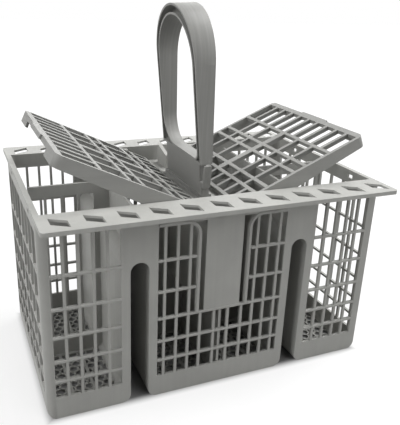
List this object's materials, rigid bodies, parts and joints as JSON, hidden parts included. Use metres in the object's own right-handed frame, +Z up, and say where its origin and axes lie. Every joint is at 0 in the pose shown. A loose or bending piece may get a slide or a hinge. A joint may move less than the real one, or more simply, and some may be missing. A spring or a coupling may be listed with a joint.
{
  "type": "dishwasher cutlery basket",
  "caption": "Open-grid cutlery basket for a dishwasher, with upright boxes, arched tunnels, a slotted rim, a carrying loop and hinged grille lids that cover the compartments.",
  "frame": {"origin": "centre of the object's box, on the surface that the floor of the basket stands on", "axes": "+Z up, +X along the basket towards the right-hand lid, +Y from the front flange to the rear flange"},
  "size_m": [0.245, 0.182, 0.2596],
  "materials": {
    "basket_plastic": "fine matte moulded",
    "handle_plastic": "fine matte moulded",
    "lid_plastic": "fine matte moulded"
  },
  "bodies": {
    "basket": {"basket": "basket_plastic", "handle": "handle_plastic"},
    "lid_left": {"lid_left": "lid_plastic"},
    "lid_right": {"lid_right": "lid_plastic"}
  },
  "joints": [
    {"name": "lid_left_hinge", "type": "hinge", "parent": "basket", "child": "lid_left", "pos_m": [-0.0315, 0, 0.1374], "axis": [0, 1, 0], "range_deg": [-25, 0]},
    {"name": "lid_right_hinge", "type": "hinge", "parent": "basket", "child": "lid_right", "pos_m": [0.0315, 0, 0.1374], "axis": [0, 1, 0], "range_deg": [0, 23.3]}
  ]
}
